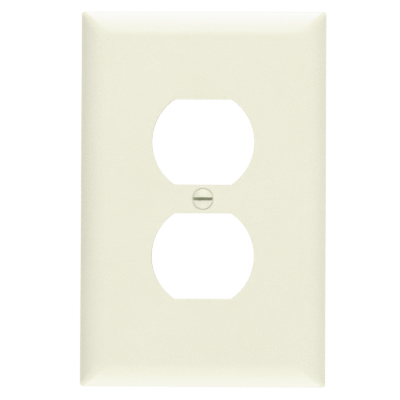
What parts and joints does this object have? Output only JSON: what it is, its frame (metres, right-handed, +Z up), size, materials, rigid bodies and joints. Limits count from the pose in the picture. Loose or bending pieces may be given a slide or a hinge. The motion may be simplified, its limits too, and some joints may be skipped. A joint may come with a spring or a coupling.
{
  "type": "duplex outlet cover plate",
  "caption": "Oversize plastic cover plate for a duplex wall outlet, crowned edge, flatted round openings, slotted oval-head screw with a captive washer.",
  "frame": {"origin": "on the screw's axis, in the plane of the wall that the plate's back rim rests on", "axes": "-Y out of the wall, the way the plate faces; +X to the right as seen from the front; +Z up"},
  "size_m": [0.0842, 0.0136, 0.1286],
  "materials": {
    "plate_plastic": "satin",
    "painted_screw": "satin",
    "washer_plastic": "matte"
  },
  "bodies": {
    "plate": {"wall_plate": "plate_plastic"},
    "retainer": {"screw_retainer": "washer_plastic"},
    "screw": {"plate_screw": "painted_screw"}
  },
  "joints": [
    {"name": "screw_travel", "type": "slide", "parent": "plate", "child": "retainer", "axis": [0, -1, 0], "range_m": [0, 0.00317]},
    {"name": "screw_turn", "type": "hinge", "parent": "retainer", "child": "screw", "pos_m": [0, 0, 0], "axis": [0, -1, 0], "range_deg": [0, 1440]}
  ],
  "couplings": [
    {"joint": "screw_turn", "follows": "screw_travel", "rad_per_m": 7915.8}
  ]
}
